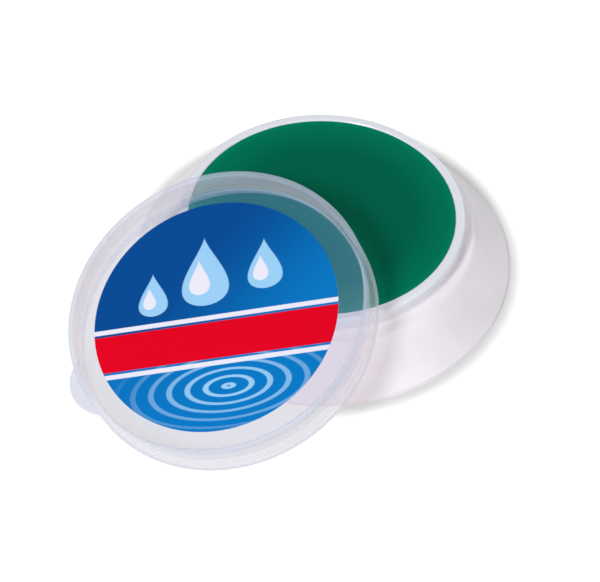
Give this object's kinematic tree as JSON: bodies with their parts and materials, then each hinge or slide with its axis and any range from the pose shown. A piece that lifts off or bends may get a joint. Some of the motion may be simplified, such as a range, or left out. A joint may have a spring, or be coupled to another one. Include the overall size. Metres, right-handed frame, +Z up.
{
  "type": "finger moistener",
  "caption": "Round desk finger moistener: white flared dish with a snap lip holding green gel, and a frosted snap lid with a lift tab and round label leaning on the dish.",
  "frame": {"origin": "centre of the dish's round foot, on the table that it stands on", "axes": "+Z up along the dish's axis; the lid leans over the -Y side, its lower edge on the table"},
  "size_m": [0.0646, 0.0851, 0.0238],
  "materials": {
    "dish_plastic": "white, satin gloss",
    "gel": "dark green set gel, moist sheen",
    "lid_plastic": "frosted, see-through",
    "label_paper": "coated printed paper"
  },
  "bodies": {
    "base": {"dish": "dish_plastic", "gel": "gel"},
    "cover": {"lid": "lid_plastic", "label": "label_paper"}
  },
  "joints": [
    {"name": "lid_lift", "type": "slide", "parent": "base", "child": "cover", "axis": [0, 0, 1], "range_m": [0, 0.04]}
  ]
}
